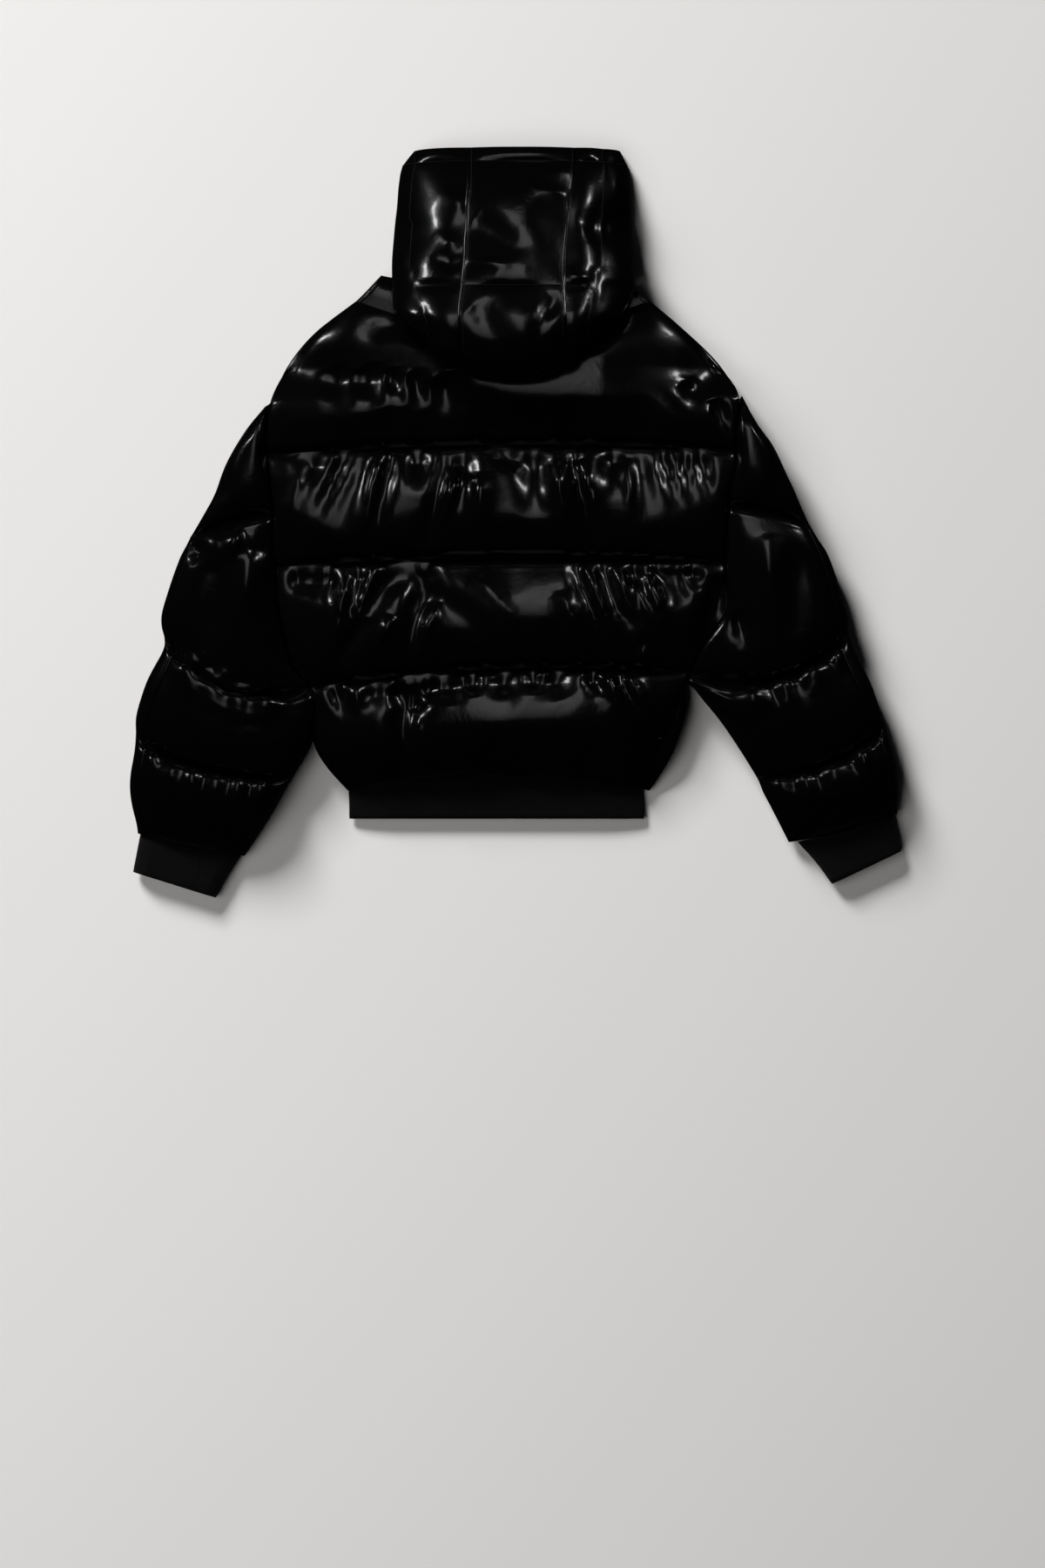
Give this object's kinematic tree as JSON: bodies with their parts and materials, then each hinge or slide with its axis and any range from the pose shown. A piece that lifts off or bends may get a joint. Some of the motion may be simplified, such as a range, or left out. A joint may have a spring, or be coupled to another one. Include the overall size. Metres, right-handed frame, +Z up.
{
  "type": "hooded puffer jacket",
  "caption": "Hooded puffer jacket laid flat with its back up: sewn-through padded body, sleeves and hood, knitted hem and cuffs, front zip underneath with a hinged pull tab",
  "frame": {"origin": "middle of the underside of the jacket's box, on the surface that it lies on", "axes": "+X towards the wearer's right sleeve, +Y towards the hood, +Z up, out of the wearer's back"},
  "size_m": [0.9572, 0.929, 0.1388],
  "materials": {
    "coated_nylon": "black nylon with a glossy wet-look coating, finely creased",
    "rib_knit": "matte black one-by-one rib knit",
    "zip_tape": "matte black woven tape",
    "zip_teeth": "black moulded teeth",
    "zip_metal": "dark painted metal"
  },
  "bodies": {
    "jacket": {"back": "coated_nylon", "front_left": "coated_nylon", "front_right": "coated_nylon", "sleeve_left_back": "coated_nylon", "sleeve_left_front": "coated_nylon", "sleeve_right_back": "coated_nylon", "sleeve_right_front": "coated_nylon", "hood_center": "coated_nylon", "hood_side_left": "coated_nylon", "hood_side_right": "coated_nylon", "hem_rib": "rib_knit", "cuff_left": "rib_knit", "cuff_right": "rib_knit", "zip_tape_left": "zip_tape", "zip_tape_right": "zip_tape", "zip_chain": "zip_teeth", "zip_slider": "zip_metal"},
    "pull_tab": {"zip_pull_tab": "zip_metal"}
  },
  "joints": [
    {"name": "pull_tab_swing", "type": "hinge", "parent": "jacket", "child": "pull_tab", "pos_m": [-0.02243, 0.2545, 0.0034], "axis": [1, 0, 0], "range_deg": [0, 170]}
  ]
}
